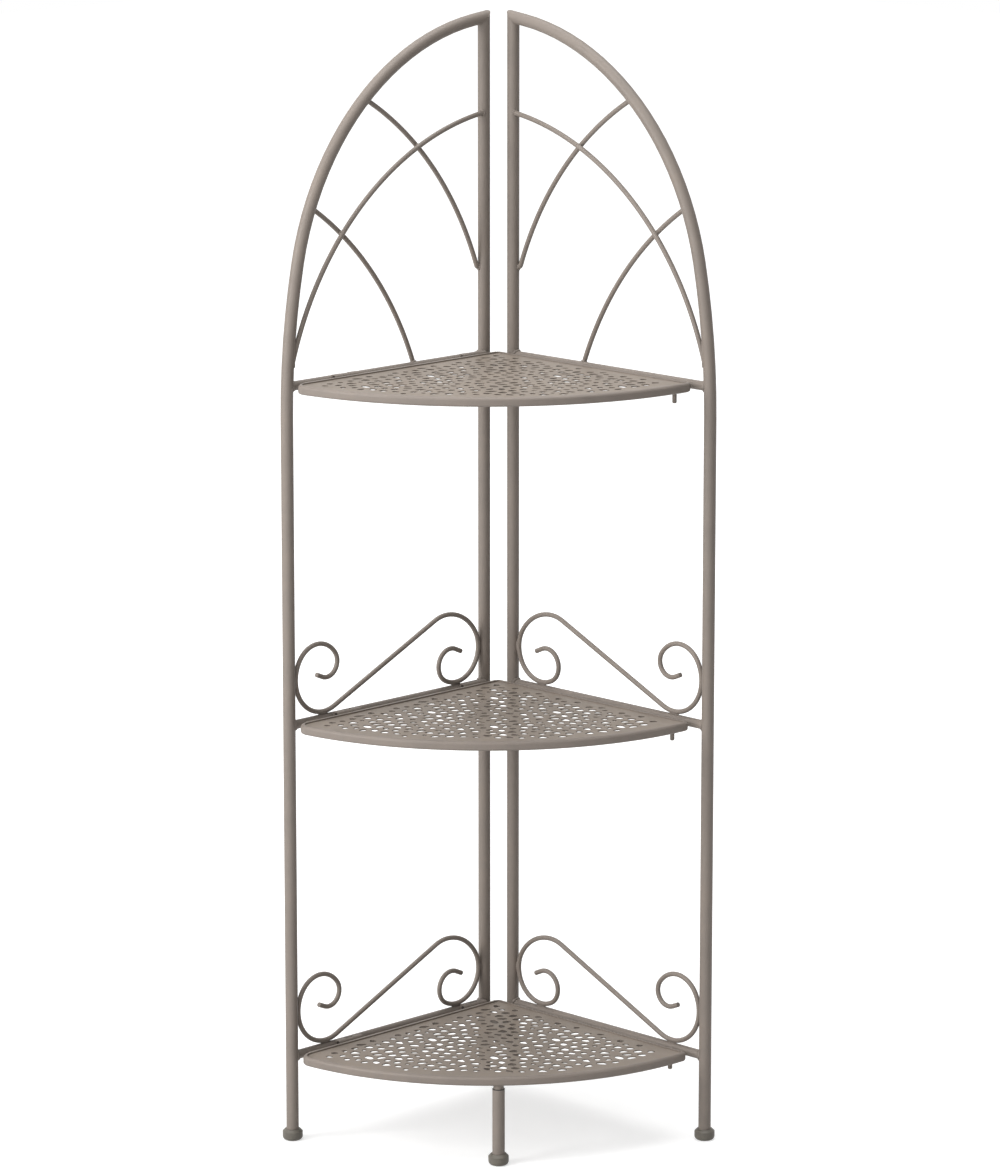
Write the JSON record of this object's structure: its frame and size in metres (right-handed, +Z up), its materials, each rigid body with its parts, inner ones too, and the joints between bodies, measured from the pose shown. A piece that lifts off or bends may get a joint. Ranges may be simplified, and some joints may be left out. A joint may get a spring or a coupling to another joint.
{
  "type": "folding corner shelf",
  "caption": "Folding metal corner shelf with arched side panels, scrolled wire trim and hinged quarter-round perforated shelves.",
  "frame": {"origin": "on the floor, under the middle of the overall box", "axes": "+Z up; the left panel runs along -X and the right panel along -Y from the back corner at +X +Y; the open front faces -X -Y"},
  "size_m": [0.319, 0.319, 1.136],
  "materials": {
    "frame_paint": "satin powder coat",
    "sheet_paint": "satin powder coat",
    "pin_steel": "satin powder coat",
    "foot_plastic": "matte",
    "plug_plastic": "matte"
  },
  "bodies": {
    "frame": {"left_back_post": "frame_paint", "left_front_post": "frame_paint", "left_high_wire": "frame_paint", "left_long_wire": "frame_paint", "left_low_wire": "frame_paint", "left_back_foot": "foot_plastic", "left_front_foot": "foot_plastic", "left_top_rail": "frame_paint", "left_middle_rail": "frame_paint", "left_bottom_rail": "frame_paint", "left_middle_scroll": "frame_paint", "left_bottom_scroll": "frame_paint", "right_back_post": "frame_paint", "right_front_post": "frame_paint", "right_high_wire": "frame_paint", "right_long_wire": "frame_paint", "right_low_wire": "frame_paint", "right_back_foot": "foot_plastic", "right_front_foot": "foot_plastic", "right_top_rail": "frame_paint", "right_middle_rail": "frame_paint", "right_bottom_rail": "frame_paint", "right_middle_scroll": "frame_paint", "right_bottom_scroll": "frame_paint", "top_hinge_fixed_leaves": "frame_paint", "top_hinge_pins": "pin_steel", "top_catch_loop": "frame_paint", "middle_hinge_fixed_leaves": "frame_paint", "middle_hinge_pins": "pin_steel", "middle_catch_loop": "frame_paint", "bottom_hinge_fixed_leaves": "frame_paint", "bottom_hinge_pins": "pin_steel", "bottom_catch_loop": "frame_paint", "upper_panel_hinge_left_leaf": "frame_paint", "upper_panel_hinge_right_leaf": "frame_paint", "upper_panel_hinge_pin": "pin_steel", "lower_panel_hinge_left_leaf": "frame_paint", "lower_panel_hinge_right_leaf": "frame_paint", "lower_panel_hinge_pin": "pin_steel"},
    "top_shelf": {"top_shelf_rim": "frame_paint", "top_shelf_sheet": "sheet_paint", "top_hinge_shelf_leaves": "frame_paint", "top_lock_pin": "frame_paint"},
    "middle_shelf": {"middle_shelf_rim": "frame_paint", "middle_shelf_sheet": "sheet_paint", "middle_hinge_shelf_leaves": "frame_paint", "middle_lock_pin": "frame_paint"},
    "bottom_shelf": {"bottom_shelf_rim": "frame_paint", "bottom_shelf_sheet": "sheet_paint", "bottom_hinge_shelf_leaves": "frame_paint", "bottom_lock_pin": "frame_paint", "leg_stub": "frame_paint", "leg_plug": "plug_plastic", "leg_tube": "frame_paint", "leg_foot": "foot_plastic"}
  },
  "joints": [
    {"name": "top_shelf_lift", "type": "hinge", "parent": "frame", "child": "top_shelf", "pos_m": [0, 0.1407, 0.7848], "axis": [-1, 0, 0], "range_deg": [0, 88]},
    {"name": "middle_shelf_lift", "type": "hinge", "parent": "frame", "child": "middle_shelf", "pos_m": [0, 0.1407, 0.43845], "axis": [-1, 0, 0], "range_deg": [0, 88]},
    {"name": "bottom_shelf_lift", "type": "hinge", "parent": "frame", "child": "bottom_shelf", "pos_m": [0, 0.1407, 0.0921], "axis": [-1, 0, 0], "range_deg": [0, 88]}
  ]
}
